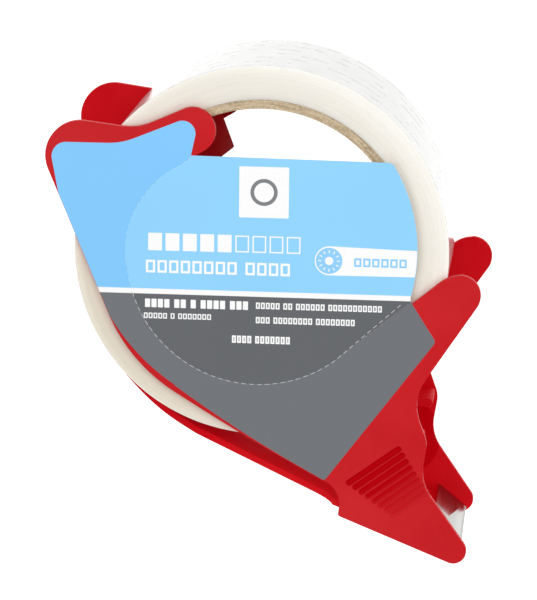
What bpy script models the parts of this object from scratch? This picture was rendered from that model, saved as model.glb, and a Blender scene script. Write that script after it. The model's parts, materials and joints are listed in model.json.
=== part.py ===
"""Hand-held packing-tape dispenser with its roll of tape, lying on its side on a table.

A red moulded body (two side plates, a belly wall and a nose) carries a serrated steel
cutter and a flat printed label. The tape roll spins on two hub flanges inside the core.

The model is laid out around the roll's axis, which points up (+Z). X and Y run along the
side plates: the wing points to -X, the nose to -Y. The frame's origin is the middle of
the whole object's footprint, on the table.
"""
import math

import bmesh
import bpy
from mathutils import Matrix, Vector

MM = 0.001
GAP = 0.3 * MM                      # kept between solids that touch on the real object

# Tape roll: 40 m of 48 mm tape on a 3 inch core.
TAPE_WIDTH = 48.0 * MM
TAPE_LENGTH = 40.0
TAPE_THICKNESS = 0.0645 * MM
CORE_BORE_R = 38.1 * MM
CORE_WALL = 2.4 * MM
CORE_OUTER_R = CORE_BORE_R + CORE_WALL
WINDING_INNER_R = CORE_OUTER_R + GAP
ROLL_R = math.sqrt(CORE_OUTER_R ** 2 + TAPE_LENGTH * TAPE_THICKNESS / math.pi)

# Heights above the table, from the far plate's outer face up to the label.
PLATE_THICKNESS = 1.6 * MM
ROLL_BOTTOM = PLATE_THICKNESS + GAP
ROLL_TOP = ROLL_BOTTOM + TAPE_WIDTH
NEAR_INNER = ROLL_TOP + GAP
NEAR_OUTER = NEAR_INNER + PLATE_THICKNESS
LABEL_BOTTOM = NEAR_OUTER + GAP
LABEL_THICKNESS = 0.3 * MM

# The moulding is twisted a little: the far plate is turned against the near one, about a
# point in front of the nose that joins them.
FAR_PLATE_TURN = -1.1               # degrees
FAR_PLATE_PIVOT = (69.0 * MM, -90.0 * MM)

# Moulded features.
EDGE_ROUND = 0.4 * MM
ROUND_ABOVE_ANGLE = 50.0            # degrees between two faces whose edge is rounded
HUB_CLEARANCE = 0.6 * MM
HUB_WALL = 1.6 * MM
HUB_DEPTH = 10.0 * MM
HUB_START, HUB_END = 146.0, 276.0   # degrees around the roll's axis
FINGER_ROOT_ANGLE = 118.0           # at the near plate
FINGER_END_ANGLE = 110.0            # at its free end, because it leans
FINGER_INNER_R = 26.5 * MM
FINGER_DEPTH = 16.0 * MM
FINGER_THICKNESS = 1.5 * MM
NEAR_GUIDE_DEPTH = 5.0 * MM
FAR_GUIDE_DEPTH = 14.0 * MM
BELLY_HALF_WIDTH = 21.0 * MM        # a little narrower than the roll
BELLY_OUTER_R = 53.4 * MM
BELLY_WALL = 1.8 * MM
BELLY_SLOPE = 244.1                 # direction that the straight stretch faces
BELLY_END_X = 19.0 * MM
NOSE_SLOPE = 247.2                  # direction that the floor of the nose faces
TONGUE_TIP = 214.0                  # where the belly wall ends behind the roll
TONGUE_ROUND = 8.0 * MM             # length of its round end
TONGUE_HALF_WIDTH = 9.5 * MM        # at the root of the round end
TONGUE_TAPER = 34.5 * MM            # from the tip to the full width
SEAT_SETBACK = 0.6 * MM             # from the roots of the cutter's teeth
SEAT_FRONT_LEAN = 0.4 * MM
SEAT_BACK_LEAN = 1.2 * MM

# Cutter: a flat serrated strip across the nose.
BLADE_BACK = (45.8 * MM, -75.3 * MM)
BLADE_TIP = (53.5 * MM, -81.7 * MM)
BLADE_THICKNESS = 0.5 * MM
TOOTH_PITCH = 1.56 * MM
TOOTH_DEPTH = 1.1 * MM
TOOTH_COUNT = 30

# Thumb grip: grooves in each plate's outer face, between two slanting lines of ends.
GROOVE_COUNT = 8
GROOVE_LEFT = ((23.7, -62.0), (35.5, -70.5))
GROOVE_RIGHT = ((36.8, -52.5), (43.9, -64.3))
GROOVE_HALF_WIDTH = 0.55 * MM
GROOVE_DEPTH = 0.5 * MM

# Outlines, anticlockwise, in millimetres and degrees around the roll's axis. Each entry
# is an arc (centre x, centre y, radius, start, end), and straight lines join the arcs.
PLATE_OUTLINE = [
    (-47.4, 25.2, 9.45, 81.1, 202.4),       # wing tip
    (1.3, -0.1, 45.1, 202.4, 238.5),        # around the roll
    (281.8, 434.1, 562.0, 237.5, 241.9),    # slightly bowed lower edge
    (14.0, -68.0, 7.1, 59.5, -4.0),         # hollow above the step
    (21.6, -70.7, 0.8, 175.0, 247.2),       # step
    (51.6, -80.2, 3.5, 247.2, 394.6),       # nose tip
    (55.1, -58.6, 11.8, 212.8, 168.7),      # finger hollow above the nose
    (36.3, -51.4, 7.9, -11.3, 22.6),        # guide bump
    (54.5, -40.7, 12.9, 202.6, 146.0),      # hollow under the front tip
    (52.6, -10.5, 5.5, -35.0, 90.0),        # front tip
    (52.9, -13.7, 8.6, 90.0, 127.5),
    (-1.0, -1.1, 35.0, -52.3, -175.0),      # inner edge beside the core
    (-9.8, -0.4, 26.5, 185.0, 111.9),
    (-17.8, 32.4, 6.1, -59.0, 107.1),       # hook
    (-34.4, 47.4, 14.3, -70.1, -100.8),     # dip between hook and wing
]
PERFORATION = [
    (-1.0, -1.1, 34.5, -52.3, -175.0),
    (-9.8, -0.4, 26.0, 185.0, 113.9),
]
LABEL_OUTER_EDGE = [
    (-20.4, 31.6, 3.4, -20.8, 111.2),       # inside the hook
    (-40.2, 47.9, 19.1, -66.9, -89.6),      # along the dip
    (-51.2, 25.0, 3.9, 92.0, 190.0),        # inside the wing tip
    (-52.9, 15.2, 0.5, 186.5, 202.4),       # flush with the wing's edge from here
    (8.7, 10.6, 56.4, 209.9, 235.7),        # beside the roll
    (179.8, 241.5, 343.9, 233.9, 241.2),    # along the lower edge
    (16.9, -60.5, 0.8, 241.2, 323.8),       # bottom corner
    (44.85, -23.0, 1.3, 323.8, 401.0),      # corner under the front tip
]
GUIDE_OUTLINE = [
    (42.3, -49.3, 1.2, -90.0, 90.0),        # round end at the guide bump
    (36.0, -49.3, 1.2, 90.0, 270.0),
]
PANEL_FRONT_EDGE = [
    (-3.1, 1.1, 44.5, -16.1, 31.3),         # rounded edge over the roll
]
PANEL_FRONT_LOW = (39.7, -12.3)
PANEL_TOP_FRONT = (33.7, 24.7)
PANEL_TOP_BACK = (-18.2, 25.8)
BORDER_END_LOW = (0.3 * MM, -0.6 * MM)      # how far the border's two ends stay off the panel
BORDER_END_TOP = (-0.2 * MM, 0.3 * MM)

CURVE_TOLERANCE = 0.04 * MM
ROLL_SEGMENTS = 96
HUB_STEPS = 26
BELLY_STEPS = 8
ROUND_STEPS = 5
FRAME_STEP = 0.1 * MM               # the roll's axis sits at a round place in the frame

RED = ("red_plastic", (0.53, 0.022, 0.028), 0.35, 0.0)
STEEL = ("blade_steel", (0.62, 0.63, 0.64), 0.22, 1.0)
KRAFT = ("core_board", (0.46, 0.33, 0.19), 0.85, 0.0)
TAPE = ("clear_tape", (0.82, 0.79, 0.72), 0.30, 0.0)
LABEL_BLUE = ("label_blue", (0.25, 0.58, 0.95), 0.40, 0.0)
LABEL_GREY = ("label_grey", (0.16, 0.17, 0.19), 0.40, 0.0)


def clear_scene():
    for item in list(bpy.data.objects):
        bpy.data.objects.remove(item, do_unlink=True)


def make_material(spec):
    name, colour, roughness, metallic = spec
    material = bpy.data.materials.new(name)
    material.use_nodes = True
    shader = material.node_tree.nodes["Principled BSDF"]
    shader.inputs["Base Color"].default_value = (*colour, 1.0)
    shader.inputs["Roughness"].default_value = roughness
    shader.inputs["Metallic"].default_value = metallic
    return material


def polar(radius, degrees):
    angle = math.radians(degrees)
    return Vector((radius * math.cos(angle), radius * math.sin(angle)))


def arc_points(arc):
    """The points of one outline arc, in metres, close enough that its chords look round."""
    centre = Vector(arc[:2]) * MM
    radius = arc[2] * MM
    start, end = arc[3:]
    step = 2.0 * math.degrees(math.acos(1.0 - CURVE_TOLERANCE / radius))
    count = max(2, math.ceil(abs(end - start) / step))
    return [centre + polar(radius, start + (end - start) * i / count) for i in range(count + 1)]


def outline_points(arcs):
    """All the arcs' points in order, leaving out any that repeats the one before it."""
    points = []
    for arc in arcs:
        for point in arc_points(arc):
            if not points or (point - points[-1]).length > CURVE_TOLERANCE:
                points.append(point)
    return points


def turned_about(points, pivot, degrees):
    """Flat points turned about a pivot."""
    centre = Vector(pivot)
    turn = Matrix.Rotation(math.radians(degrees), 2)
    return [centre + turn @ (point - centre) for point in points]


def near_plate_points(points):
    """The near plate lies as its outline is drawn."""
    return points


def far_plate_points(points):
    return turned_about(points, FAR_PLATE_PIVOT, FAR_PLATE_TURN)


def add_object(name, bm, material, frame, smooth_angle=35.0):
    """Turn a bmesh into a named object that is parented to the roll-axis empty."""
    bmesh.ops.recalc_face_normals(bm, faces=bm.faces)
    mesh = bpy.data.meshes.new(name)
    bm.to_mesh(mesh)
    bm.free()
    mesh.shade_smooth()
    mesh.set_sharp_from_angle(angle=math.radians(smooth_angle))
    item = bpy.data.objects.new(name, mesh)
    bpy.context.collection.objects.link(item)
    item.parent = frame
    if material:
        mesh.materials.append(material)
    return item


def extruded(points, bottom, top):
    """A closed prism over a flat outline."""
    bm = bmesh.new()
    verts = [bm.verts.new((p[0], p[1], bottom)) for p in points]
    base = bm.faces.new(verts)
    lifted = bmesh.ops.extrude_face_region(bm, geom=[base])["geom"]
    raised = [v for v in lifted if isinstance(v, bmesh.types.BMVert)]
    bmesh.ops.translate(bm, verts=raised, vec=(0.0, 0.0, top - bottom))
    return bm


def ring(inner, outer, bottom, top, segments):
    """A closed tube around the roll's axis."""
    bm = bmesh.new()
    corners = [(inner, bottom), (outer, bottom), (outer, top), (inner, top)]
    profile = [bm.verts.new((radius, 0.0, height)) for radius, height in corners]
    edges = [bm.edges.new((profile[i], profile[(i + 1) % 4])) for i in range(4)]
    bmesh.ops.spin(bm, geom=profile + edges, cent=(0.0, 0.0, 0.0), axis=(0.0, 0.0, 1.0),
                   angle=2.0 * math.pi, steps=segments, use_merge=True)
    bmesh.ops.remove_doubles(bm, verts=bm.verts, dist=0.01 * MM)
    return bm


def band_points(inner, outer, start, end, steps):
    """The outline of a curved band between two radii around the roll's axis."""
    angles = [start + (end - start) * i / steps for i in range(steps + 1)]
    return [polar(outer, a) for a in angles] + [polar(inner, a) for a in reversed(angles)]


def hide_helper(item):
    item.hide_render = True
    item.display_type = "WIRE"


def combine(item, helper, operation):
    hide_helper(helper)
    modifier = item.modifiers.new(helper.name, "BOOLEAN")
    modifier.operation = operation
    modifier.object = helper


def round_edges(item, width):
    modifier = item.modifiers.new("rounded_edges", "BEVEL")
    modifier.width = width
    modifier.segments = 2
    modifier.limit_method = "ANGLE"
    modifier.angle_limit = math.radians(ROUND_ABOVE_ANGLE)


def hub_flange(name, bottom, top, frame):
    """The curved wall on a side plate that the core turns on."""
    outer = CORE_BORE_R - HUB_CLEARANCE
    points = band_points(outer - HUB_WALL, outer, HUB_START, HUB_END, HUB_STEPS)
    return add_object(name, extruded(points, bottom, top), None, frame)


def guide_tab(name, turn, bottom, top, frame):
    """The upright tab at the guide bump that keeps the tape off the plate's front edge."""
    outline = turn(outline_points(GUIDE_OUTLINE))
    return add_object(name, extruded(outline, bottom, top), None, frame)


def finger_section(degrees):
    """The finger's four corners around a radial line, anticlockwise."""
    outward = polar(1.0, degrees)
    across = Vector((-outward.y, outward.x)) * (FINGER_THICKNESS / 2.0)
    outer = outward * (CORE_BORE_R - HUB_CLEARANCE)
    inner = outward * FINGER_INNER_R
    return [outer - across, outer + across, inner + across, inner - across]


def core_finger(name, bottom, top, frame):
    """The flat finger that reaches into the core under the near plate's hook."""
    bm = extruded(finger_section(FINGER_END_ANGLE), bottom, top)
    to_root = Matrix.Rotation(math.radians(FINGER_ROOT_ANGLE - FINGER_END_ANGLE), 3, "Z")
    for vert in bm.verts:
        if vert.co.z > (bottom + top) / 2.0:
            vert.co = to_root @ vert.co
    return add_object(name, bm, None, frame)


def groove_cutter(name, turn, bottom, top, frame):
    """The thumb grip's straight grooves, as one cutter of separate bars."""
    bm = bmesh.new()
    for i in range(GROOVE_COUNT):
        share = i / (GROOVE_COUNT - 1)
        left = Vector(GROOVE_LEFT[0]).lerp(Vector(GROOVE_LEFT[1]), share) * MM
        right = Vector(GROOVE_RIGHT[0]).lerp(Vector(GROOVE_RIGHT[1]), share) * MM
        along = (right - left).normalized()
        across = Vector((-along.y, along.x)) * GROOVE_HALF_WIDTH
        corners = turn([left - across, right - across, right + across, left + across])
        low = [bm.verts.new((c.x, c.y, bottom)) for c in corners]
        high = [bm.verts.new((c.x, c.y, top)) for c in corners]
        bm.faces.new(low)
        bm.faces.new(high)
        for j in range(4):
            bm.faces.new((low[j], low[(j + 1) % 4], high[(j + 1) % 4], high[j]))
    return add_object(name, bm, None, frame)


def side_plate(name, bottom, inward, turn, material, frame):
    """One side plate: inward is +1 where the roll lies above it and -1 where it lies below.

    turn takes flat points from the shared outline to this plate's own place.
    """
    top = bottom + PLATE_THICKNESS
    outline = turn(outline_points(PLATE_OUTLINE))
    plate = add_object(name, extruded(outline, bottom, top), material, frame)
    round_edges(plate, EDGE_ROUND)
    inner, outer = (top, bottom) if inward > 0 else (bottom, top)
    root = inner - inward * PLATE_THICKNESS / 2.0
    guide_depth = FAR_GUIDE_DEPTH if inward > 0 else NEAR_GUIDE_DEPTH

    def span(depth):
        return sorted((root, inner + inward * depth))

    combine(plate, hub_flange(name + "_hub", *span(HUB_DEPTH), frame), "UNION")
    combine(plate, guide_tab(name + "_guide", turn, *span(guide_depth), frame), "UNION")
    if inward < 0:
        combine(plate, core_finger(name + "_finger", *span(FINGER_DEPTH), frame), "UNION")
    cut = sorted((outer + inward * GROOVE_DEPTH, outer - inward * GROOVE_DEPTH))
    combine(plate, groove_cutter(name + "_grooves", turn, *cut, frame), "DIFFERENCE")
    return plate


def belly_line(offset, x):
    """The point at x on the belly wall's straight stretch, offset outward from the axis."""
    normal = polar(1.0, BELLY_SLOPE)
    return Vector((x, (offset - normal.x * x) / normal.y))


def nose_line(offset, x):
    """The point at x on the floor of the nose, which runs on from the belly wall."""
    start = belly_line(offset, BELLY_END_X)
    normal = polar(1.0, NOSE_SLOPE)
    return Vector((x, start.y - (x - start.x) * normal.x / normal.y))


def belly_station(travel):
    """Outer point and outward direction at a distance along the wall from its tip."""
    turn = min(math.degrees(travel / BELLY_OUTER_R), BELLY_SLOPE - TONGUE_TIP)
    normal = polar(1.0, TONGUE_TIP + turn)
    straight = travel - math.radians(turn) * BELLY_OUTER_R
    return normal * BELLY_OUTER_R + Vector((-normal.y, normal.x)) * straight, normal


def belly_half_width(travel):
    """A round end, then an even taper up to the full width."""
    if travel < TONGUE_ROUND:
        return TONGUE_HALF_WIDTH * math.sqrt(1.0 - (1.0 - travel / TONGUE_ROUND) ** 2)
    share = min(1.0, (travel - TONGUE_ROUND) / (TONGUE_TAPER - TONGUE_ROUND))
    return TONGUE_HALF_WIDTH + (BELLY_HALF_WIDTH - TONGUE_HALF_WIDTH) * share


def belly_travels():
    """Distances along the wall at which its cross-section is set, closer at the round end."""
    quarter = [math.radians(90.0 * i / ROUND_STEPS) for i in range(1, ROUND_STEPS + 1)]
    travels = [TONGUE_ROUND * (1.0 - math.cos(angle)) for angle in quarter]
    taper = TONGUE_TAPER - TONGUE_ROUND
    travels += [TONGUE_ROUND + taper * i / BELLY_STEPS for i in range(1, BELLY_STEPS + 1)]
    last, _ = belly_station(TONGUE_TAPER)
    travels.append(TONGUE_TAPER + (belly_line(BELLY_OUTER_R, BELLY_END_X) - last).length)
    return travels


def belly_wall(material, frame):
    """The tongue that follows the underside of the roll and runs straight to the nose."""
    middle = (ROLL_BOTTOM + ROLL_TOP) / 2.0
    bm = bmesh.new()
    sections = []
    for travel in belly_travels():
        outer, normal = belly_station(travel)
        inner = outer - normal * BELLY_WALL
        half = belly_half_width(travel)
        corners = [(outer, -half), (outer, half), (inner, half), (inner, -half)]
        sections.append([bm.verts.new((spot.x, spot.y, middle + rise)) for spot, rise in corners])
    for near, far in zip(sections, sections[1:]):
        for i in range(4):
            bm.faces.new((near[i], far[i], far[(i + 1) % 4], near[(i + 1) % 4]))
    bm.faces.new(sections[0])
    bm.faces.new(sections[-1])
    wall = add_object("belly_wall", bm, material, frame)
    round_edges(wall, EDGE_ROUND)
    return wall


def blade_axes():
    along = (Vector(BLADE_TIP) - Vector(BLADE_BACK)).normalized()
    return along, Vector((-along.y, along.x))


def nose_bridge(material, frame):
    """The floor of the nose, with the raised seat that the cutter rests on."""
    along, up = blade_axes()
    seat_drop = BLADE_THICKNESS + GAP
    back = Vector(BLADE_BACK) - up * seat_drop
    front = Vector(BLADE_TIP) - along * (TOOTH_DEPTH + SEAT_SETBACK) - up * seat_drop
    inner_r = BELLY_OUTER_R - BELLY_WALL
    start = BELLY_END_X + GAP
    points = [
        nose_line(BELLY_OUTER_R, start),
        nose_line(BELLY_OUTER_R, front.x - SEAT_FRONT_LEAN),
        front,
        back,
        nose_line(inner_r, back.x - SEAT_BACK_LEAN),
        nose_line(inner_r, start + BELLY_WALL / 2.0),
    ]
    bridge = add_object("nose_bridge", extruded(points, ROLL_BOTTOM, ROLL_TOP), material, frame)
    round_edges(bridge, EDGE_ROUND)
    return bridge


def cutter_blade(material, frame):
    """A flat steel strip with one row of pointed teeth."""
    along, up = blade_axes()
    base = Vector(BLADE_BACK)
    root = (Vector(BLADE_TIP) - base).length - TOOTH_DEPTH
    middle = (ROLL_BOTTOM + ROLL_TOP) / 2.0
    low = middle - TOOTH_PITCH * TOOTH_COUNT / 2.0
    flat = [(0.0, low)]
    for i in range(TOOTH_COUNT):
        flat.append((root, low + TOOTH_PITCH * i))
        flat.append((root + TOOTH_DEPTH, low + TOOTH_PITCH * (i + 0.5)))
    flat.append((root, low + TOOTH_PITCH * TOOTH_COUNT))
    flat.append((0.0, low + TOOTH_PITCH * TOOTH_COUNT))
    bm = bmesh.new()
    verts = []
    for reach, height in flat:
        place = base + along * reach
        verts.append(bm.verts.new((place.x, place.y, height)))
    face = bm.faces.new(verts)
    lifted = bmesh.ops.extrude_face_region(bm, geom=[face])["geom"]
    moved = [v for v in lifted if isinstance(v, bmesh.types.BMVert)]
    shift = -up * BLADE_THICKNESS
    bmesh.ops.translate(bm, verts=moved, vec=(shift.x, shift.y, 0.0))
    return add_object("cutter_blade", bm, material, frame)


def tape_roll(core_material, tape_material, frame):
    core = ring(CORE_BORE_R, CORE_OUTER_R, ROLL_BOTTOM, ROLL_TOP, ROLL_SEGMENTS)
    add_object("paper_core", core, core_material, frame)
    winding = ring(WINDING_INNER_R, ROLL_R, ROLL_BOTTOM, ROLL_TOP, ROLL_SEGMENTS)
    add_object("tape_winding", winding, tape_material, frame)


def corner(point):
    return Vector(point) * MM


def tear_panel(material, frame):
    """The middle of the label, over the core, inside the perforated line."""
    points = outline_points(PERFORATION)
    points.append(corner(PANEL_TOP_BACK))
    points.append(corner(PANEL_TOP_FRONT))
    points += reversed(outline_points(PANEL_FRONT_EDGE))
    points.append(corner(PANEL_FRONT_LOW))
    points.reverse()
    bm = extruded(points, LABEL_BOTTOM, LABEL_BOTTOM + LABEL_THICKNESS)
    return add_object("label_tear_panel", bm, material, frame)


def label_border(material, frame):
    """The part of the label that is stuck to the near side plate."""
    inner_edge = [(x, y, r + GAP / MM, start, end) for x, y, r, start, end in PERFORATION]
    points = outline_points(LABEL_OUTER_EDGE)
    points.append(corner(PANEL_FRONT_LOW) + Vector(BORDER_END_LOW))
    points += outline_points(inner_edge)
    points.append(corner(PANEL_TOP_BACK) + Vector(BORDER_END_TOP))
    bm = extruded(points, LABEL_BOTTOM, LABEL_BOTTOM + LABEL_THICKNESS)
    return add_object("label_border", bm, material, frame)


def roll_axis_frame():
    """An empty on the roll's axis, placed so that the footprint's middle is the origin."""
    near = outline_points(PLATE_OUTLINE)
    plates = near + far_plate_points(near)
    xs = [point.x for point in plates] + [-ROLL_R, ROLL_R]
    ys = [point.y for point in plates] + [-ROLL_R, ROLL_R]
    middle = ((min(xs) + max(xs)) / 2.0, (min(ys) + max(ys)) / 2.0)
    frame = bpy.data.objects.new("roll_axis", None)
    frame.location = [-round(place / FRAME_STEP) * FRAME_STEP for place in middle] + [0.0]
    bpy.context.collection.objects.link(frame)
    return frame


def main():
    clear_scene()
    frame = roll_axis_frame()
    red = make_material(RED)
    side_plate("near_side_plate", NEAR_INNER, -1, near_plate_points, red, frame)
    side_plate("far_side_plate", 0.0, 1, far_plate_points, red, frame)
    belly_wall(red, frame)
    nose_bridge(red, frame)
    cutter_blade(make_material(STEEL), frame)
    tape_roll(make_material(KRAFT), make_material(TAPE), frame)
    label_border(make_material(LABEL_GREY), frame)
    tear_panel(make_material(LABEL_BLUE), frame)


main()
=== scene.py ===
"""The finished look of the packing-tape dispenser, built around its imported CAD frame."""
import json
import math

import bmesh
import bpy
from mathutils import Matrix, Vector


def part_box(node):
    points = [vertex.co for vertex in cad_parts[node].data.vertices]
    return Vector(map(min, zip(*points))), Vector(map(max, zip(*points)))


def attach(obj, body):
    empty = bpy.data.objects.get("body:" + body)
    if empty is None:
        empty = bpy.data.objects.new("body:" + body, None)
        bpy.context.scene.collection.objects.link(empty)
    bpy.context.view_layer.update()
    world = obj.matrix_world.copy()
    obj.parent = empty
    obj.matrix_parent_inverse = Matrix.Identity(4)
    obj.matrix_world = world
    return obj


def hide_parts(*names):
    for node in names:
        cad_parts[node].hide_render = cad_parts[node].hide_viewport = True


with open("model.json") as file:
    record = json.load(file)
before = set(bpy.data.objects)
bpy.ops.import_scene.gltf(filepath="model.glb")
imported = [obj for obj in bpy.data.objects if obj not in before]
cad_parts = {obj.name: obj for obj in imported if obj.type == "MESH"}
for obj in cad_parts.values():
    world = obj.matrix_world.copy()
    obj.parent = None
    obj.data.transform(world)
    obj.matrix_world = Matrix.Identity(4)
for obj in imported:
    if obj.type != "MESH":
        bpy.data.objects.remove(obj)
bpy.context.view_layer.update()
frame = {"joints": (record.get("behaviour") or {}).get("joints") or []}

MM = 0.001
DISPENSER = "dispenser"
ROLL = "tape_roll"

# Places read from the frame: the roll's axis, and heights along it.
AXIS = Vector(frame["joints"][0]["pos_m"])
FAR_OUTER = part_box("far_side_plate")[0].z
NEAR_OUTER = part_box("near_side_plate")[1].z
ROLL_BOTTOM, ROLL_TOP = (corner.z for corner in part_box("tape_winding"))
ROLL_R = (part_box("tape_winding")[1].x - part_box("tape_winding")[0].x) / 2.0
CORE_R = (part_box("paper_core")[1].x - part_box("paper_core")[0].x) / 2.0
CORE_WALL = 2.4 * MM
BORE_R = CORE_R - CORE_WALL
PLATE = 1.6 * MM
NEAR_INNER = NEAR_OUTER - PLATE
FAR_INNER = FAR_OUTER + PLATE
MIDDLE = (ROLL_BOTTOM + ROLL_TOP) / 2.0

# Outlines around the roll's axis: (centre x, centre y, radius, start, end), in mm and degrees.
PLATE_OUTLINE = [
    (-47.4, 25.2, 9.45, 81.1, 202.4),
    (1.3, -0.1, 45.1, 202.4, 238.5),
    (281.8, 434.1, 562.0, 237.5, 241.9),
    (14.0, -68.0, 7.1, 59.5, -4.0),
    (21.6, -70.7, 0.8, 175.0, 247.2),
    (51.6, -80.2, 3.5, 247.2, 394.6),
    (55.1, -58.6, 11.8, 212.8, 168.7),
    (36.3, -51.4, 7.9, -11.3, 22.6),
    (54.5, -40.7, 12.9, 202.6, 146.0),
    (52.6, -10.5, 5.5, -35.0, 90.0),
    (52.9, -13.7, 8.6, 90.0, 127.5),
    (-1.0, -1.1, 35.0, -52.3, -175.0),
    (-9.8, -0.4, 26.5, 185.0, 111.9),
    (-17.8, 32.4, 6.1, -59.0, 107.1),
    (-34.4, 47.4, 14.3, -70.1, -100.8),
]
PERFORATION = [
    (-1.0, -1.1, 34.5, -52.3, -175.0),
    (-9.8, -0.4, 26.0, 185.0, 113.9),
]
LABEL_OUTER_EDGE = [
    (-20.4, 31.6, 3.4, -20.8, 111.2),
    (-40.2, 47.9, 19.1, -66.9, -89.6),
    (-51.2, 25.0, 3.9, 92.0, 190.0),
    (-52.9, 15.2, 0.5, 186.5, 202.4),
    (8.7, 10.6, 56.4, 209.9, 235.7),
    (179.8, 241.5, 343.9, 233.9, 241.2),
    (16.9, -60.5, 0.8, 241.2, 323.8),
    (44.85, -23.0, 1.3, 323.8, 401.0),
]
GUIDE_OUTLINE = [
    (42.3, -49.3, 1.2, -90.0, 90.0),
    (36.0, -49.3, 1.2, 90.0, 270.0),
]
PANEL_FRONT_EDGE = [(-3.1, 1.1, 44.5, -16.1, 31.3)]
PANEL_FRONT_LOW = (39.7, -12.3)
PANEL_TOP_FRONT = (33.7, 24.7)
PANEL_TOP_BACK = (-18.2, 25.8)

# The far plate is turned a little against the near one, by degrees around a pivot in mm.
FAR_PLATE_TURN = -1.1
FAR_PLATE_PIVOT = (69.0, -90.0)
ARC_TOLERANCE = 0.006 * MM

# What stands on the plates' inner faces, and the grip's grooves in their outer faces.
PLATE_ROUND = 0.45 * MM
GUIDE_ROUND = 0.3 * MM
HUB_CLEARANCE = 0.6 * MM
HUB_THICKNESS, HUB_DEPTH, HUB_ROUND = 1.6 * MM, 10.0 * MM, 0.35 * MM
HUB_START, HUB_SWEEP = 146.0, 130.0
NEAR_GUIDE_DEPTH, FAR_GUIDE_DEPTH = 5.0 * MM, 14.0 * MM
FINGER_ROOT_ANGLE, FINGER_END_ANGLE = 122.5, 110.0
FINGER_INNER_R, FINGER_DEPTH = 26.5 * MM, 16.0 * MM
FINGER_THICKNESS, FINGER_ROUND = 1.5 * MM, 0.5 * MM
GROOVE_COUNT = 8
GROOVE_LEFT = ((23.7, -62.0), (35.5, -70.5))
GROOVE_RIGHT = ((36.8, -52.5), (43.9, -64.3))
GROOVE_HALF_WIDTH = 0.88 * MM
GROOVE_DEEPEST, GROOVE_FADE = 0.80 * MM, 0.45 * MM
GRIP_CENTRE = Vector((34.3, -62.0)) * MM
GRIP_REACH = 11.6 * MM
# Depth at which the grooves' painted shade is full.
FULL_SHADE_DEPTH = 0.55 * MM

# Label layout, in mm along the label's own axes, which are turned a little, by degrees.
LABEL_TURN = -0.6
LABEL_LIFT, LABEL_FILM, INK = 0.01 * MM, 0.12 * MM, 0.02 * MM
STRIPE_TOP, STRIPE_BOTTOM = -10.35, -11.75
SQUARE = (-5.7, 9.5, 7.4, 23.1)
RING_CENTRE, RING_OUTER, RING_INNER = (0.85, 16.3), 3.6, 2.6
PILL_LEFT, PILL_BOTTOM, PILL_TOP = 14.4, -5.4, 2.4
BADGE_CENTRE, BADGE_R, BADGE_DOT_R = (18.2, -1.5), 3.5, 1.1
TICK_COUNT, TICK_START, TICK_END, TICK_HALF_WIDTH = 12, 2.1, 2.9, 0.13
DASH, DASH_GAP, DASH_HALF_WIDTH = 1.2 * MM, 0.9 * MM, 0.10 * MM

# Lines of print: (left, bottom, right, height, blocks in each word, frame width or None if solid).
BOLD_HEADING = [(-29.7, 0.0, -7.6, 4.7, (5,), None)]
THIN_HEADING = [
    (-6.6, 0.1, 10.6, 4.5, (4,), 0.34),
    (-30.3, -6.0, 7.9, 3.4, (8, 4), 0.60),
]
PILL_PRINT = [(24.8, -2.9, 38.6, 2.3, (6,), 0.5)]
SMALL_PRINT = [
    (-30.5, -15.4, -3.1, 2.3, (4, 2, 1, 4, 3), None),
    (-30.8, -18.4, -12.9, 1.5, (5, 1, 7), 0.3),
    (-1.0, -15.0, 32.3, 1.7, (5, 2, 6, 11), 0.36),
    (-1.0, -18.9, 25.2, 1.7, (3, 8, 8), 0.36),
    (-7.3, -24.4, 8.1, 2.0, (4, 7), 0.44),
]
BLOCK_GAP, WORD_GAP = 0.20, 0.55

# Print colours.
BORDER_BLUE, BORDER_GREY, BORDER_WHITE = (0.20, 0.55, 0.93), (0.131, 0.139, 0.153), (0.92, 0.92, 0.92)
PANEL_BLUE, PANEL_GREY, PANEL_WHITE = (0.26, 0.62, 0.94), (0.098, 0.104, 0.114), (0.93, 0.93, 0.93)
INK_WHITE, INK_BLUE, INK_GREY = (0.96, 0.96, 0.96), (0.27, 0.62, 0.97), (0.20, 0.21, 0.22)
SLIT_GREY, SLIT_BLUE = (0.48, 0.49, 0.50), (0.33, 0.68, 0.96)

# Belly wall and nose: directions in degrees, distances along the wall from its tip.
BELLY_R = 53.4 * MM
BELLY_WALL = 1.8 * MM
BELLY_HALF_WIDTH = 21.0 * MM
BELLY_SLOPE, NOSE_SLOPE = 244.1, 247.2
BELLY_END_X = 19.0 * MM
TONGUE_TIP = 214.0
TONGUE_ROUND, TONGUE_TAPER = 8.0 * MM, 34.5 * MM
TONGUE_HALF_WIDTH = 9.5 * MM
WIDENING = 5.0 * MM
NOSE_FLOOR_SHORT = 2.2 * MM
BLADE_BACK = Vector((45.8, -75.3)) * MM
BLADE_TIP = Vector((53.5, -81.7)) * MM
BLADE_THICKNESS, BLADE_ROUND = 0.5 * MM, 0.06 * MM
TOOTH_COUNT, TOOTH_PITCH, TOOTH_DEPTH = 30, 1.56 * MM, 1.1 * MM
SEAT_GAP, SEAT_SHORT, SEAT_ROUND = 0.02 * MM, 1.8 * MM, 0.3 * MM
SEAT_SINK, SEAT_BACK, SEAT_FRONT = 0.5 * MM, 1.2 * MM, 0.4 * MM

# Roll: the winding's cut faces sink a little at each edge and in shallow steps between.
CORE_ROUND = 0.2 * MM
WINDING_GAP = 0.02 * MM
WINDING_STEPS, STEP_SINK, EDGE_SINK = 44, 0.05 * MM, 0.1 * MM
CORE_SEGMENTS, WINDING_SEGMENTS = 256, 320
STREAK_PITCH = 7.5 * MM

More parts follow.
